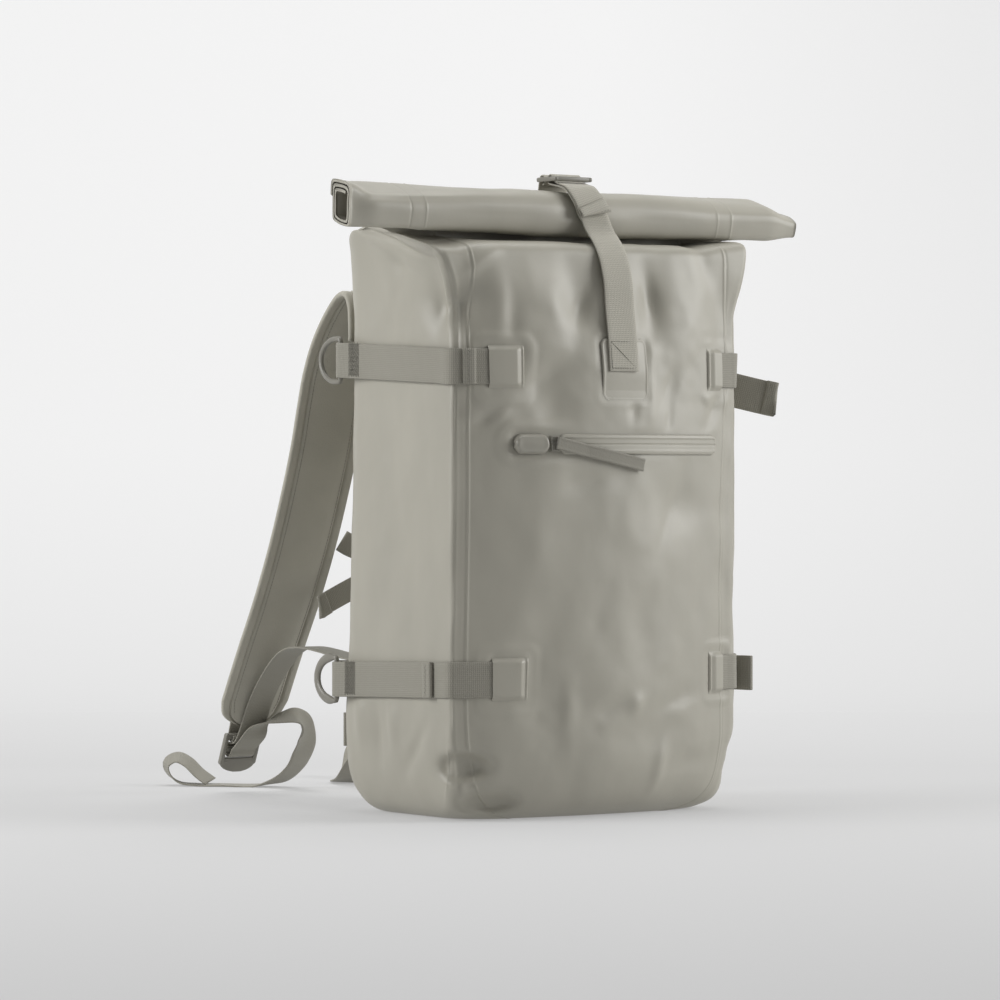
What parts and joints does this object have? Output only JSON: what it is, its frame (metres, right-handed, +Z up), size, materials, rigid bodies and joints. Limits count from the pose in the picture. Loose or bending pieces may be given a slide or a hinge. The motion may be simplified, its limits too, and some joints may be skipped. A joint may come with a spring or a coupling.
{
  "type": "waterproof backpack",
  "caption": "Roll-top waterproof backpack of coated cloth with a strap and buckle over the roll, a front zip, side straps with rings, and padded shoulder straps.",
  "frame": {"origin": "middle of the base panel's flat underside, on the floor", "axes": "+Z up to the roll, -Y out of the front with the zip, +Y out of the back with the shoulder straps, -X the side with the zip's closed end"},
  "size_m": [0.466, 0.578, 0.5457],
  "materials": {
    "cloth": "smooth coated cloth, soft sheen",
    "webbing": "woven ribbed webbing",
    "padding": "matt cloth over foam",
    "plastic": "satin moulded plastic"
  },
  "bodies": {
    "root": {"adjuster_tail_left": "webbing", "adjuster_tail_right": "webbing", "adjuster_web_left": "webbing", "adjuster_web_right": "webbing", "back_panel": "cloth", "base_panel": "cloth", "base_tab_left": "webbing", "base_tab_right": "webbing", "closure_back_strap": "webbing", "closure_buckle": "plastic", "closure_patch": "cloth", "closure_strap": "webbing", "d_ring_left_lower": "plastic", "d_ring_left_upper": "plastic", "d_ring_right_lower": "plastic", "d_ring_right_upper": "plastic", "front_panel": "cloth", "ladder_lock_left": "plastic", "ladder_lock_right": "plastic", "lock_loop_left": "webbing", "lock_loop_right": "webbing", "ring_strap_left_lower": "webbing", "ring_strap_left_upper": "webbing", "ring_strap_right_lower": "webbing", "ring_strap_right_upper": "webbing", "roll_top": "cloth", "shoulder_pad_left": "padding", "shoulder_pad_right": "padding", "side_panel_left": "cloth", "side_panel_right": "cloth", "side_strap_left_lower": "webbing", "side_strap_left_upper": "webbing", "side_strap_right_lower": "webbing", "side_strap_right_upper": "webbing", "sternum_buckle": "plastic", "sternum_tail": "webbing", "sternum_web_left": "webbing", "sternum_web_right": "webbing", "strap_patch_left_lower": "cloth", "strap_patch_left_upper": "cloth", "strap_patch_right_lower": "cloth", "strap_patch_right_upper": "cloth", "strap_yoke": "padding", "zip_garage": "plastic", "zip_pull": "padding", "zip_slider": "plastic", "zip_strip": "cloth"}
  },
  "joints": []
}
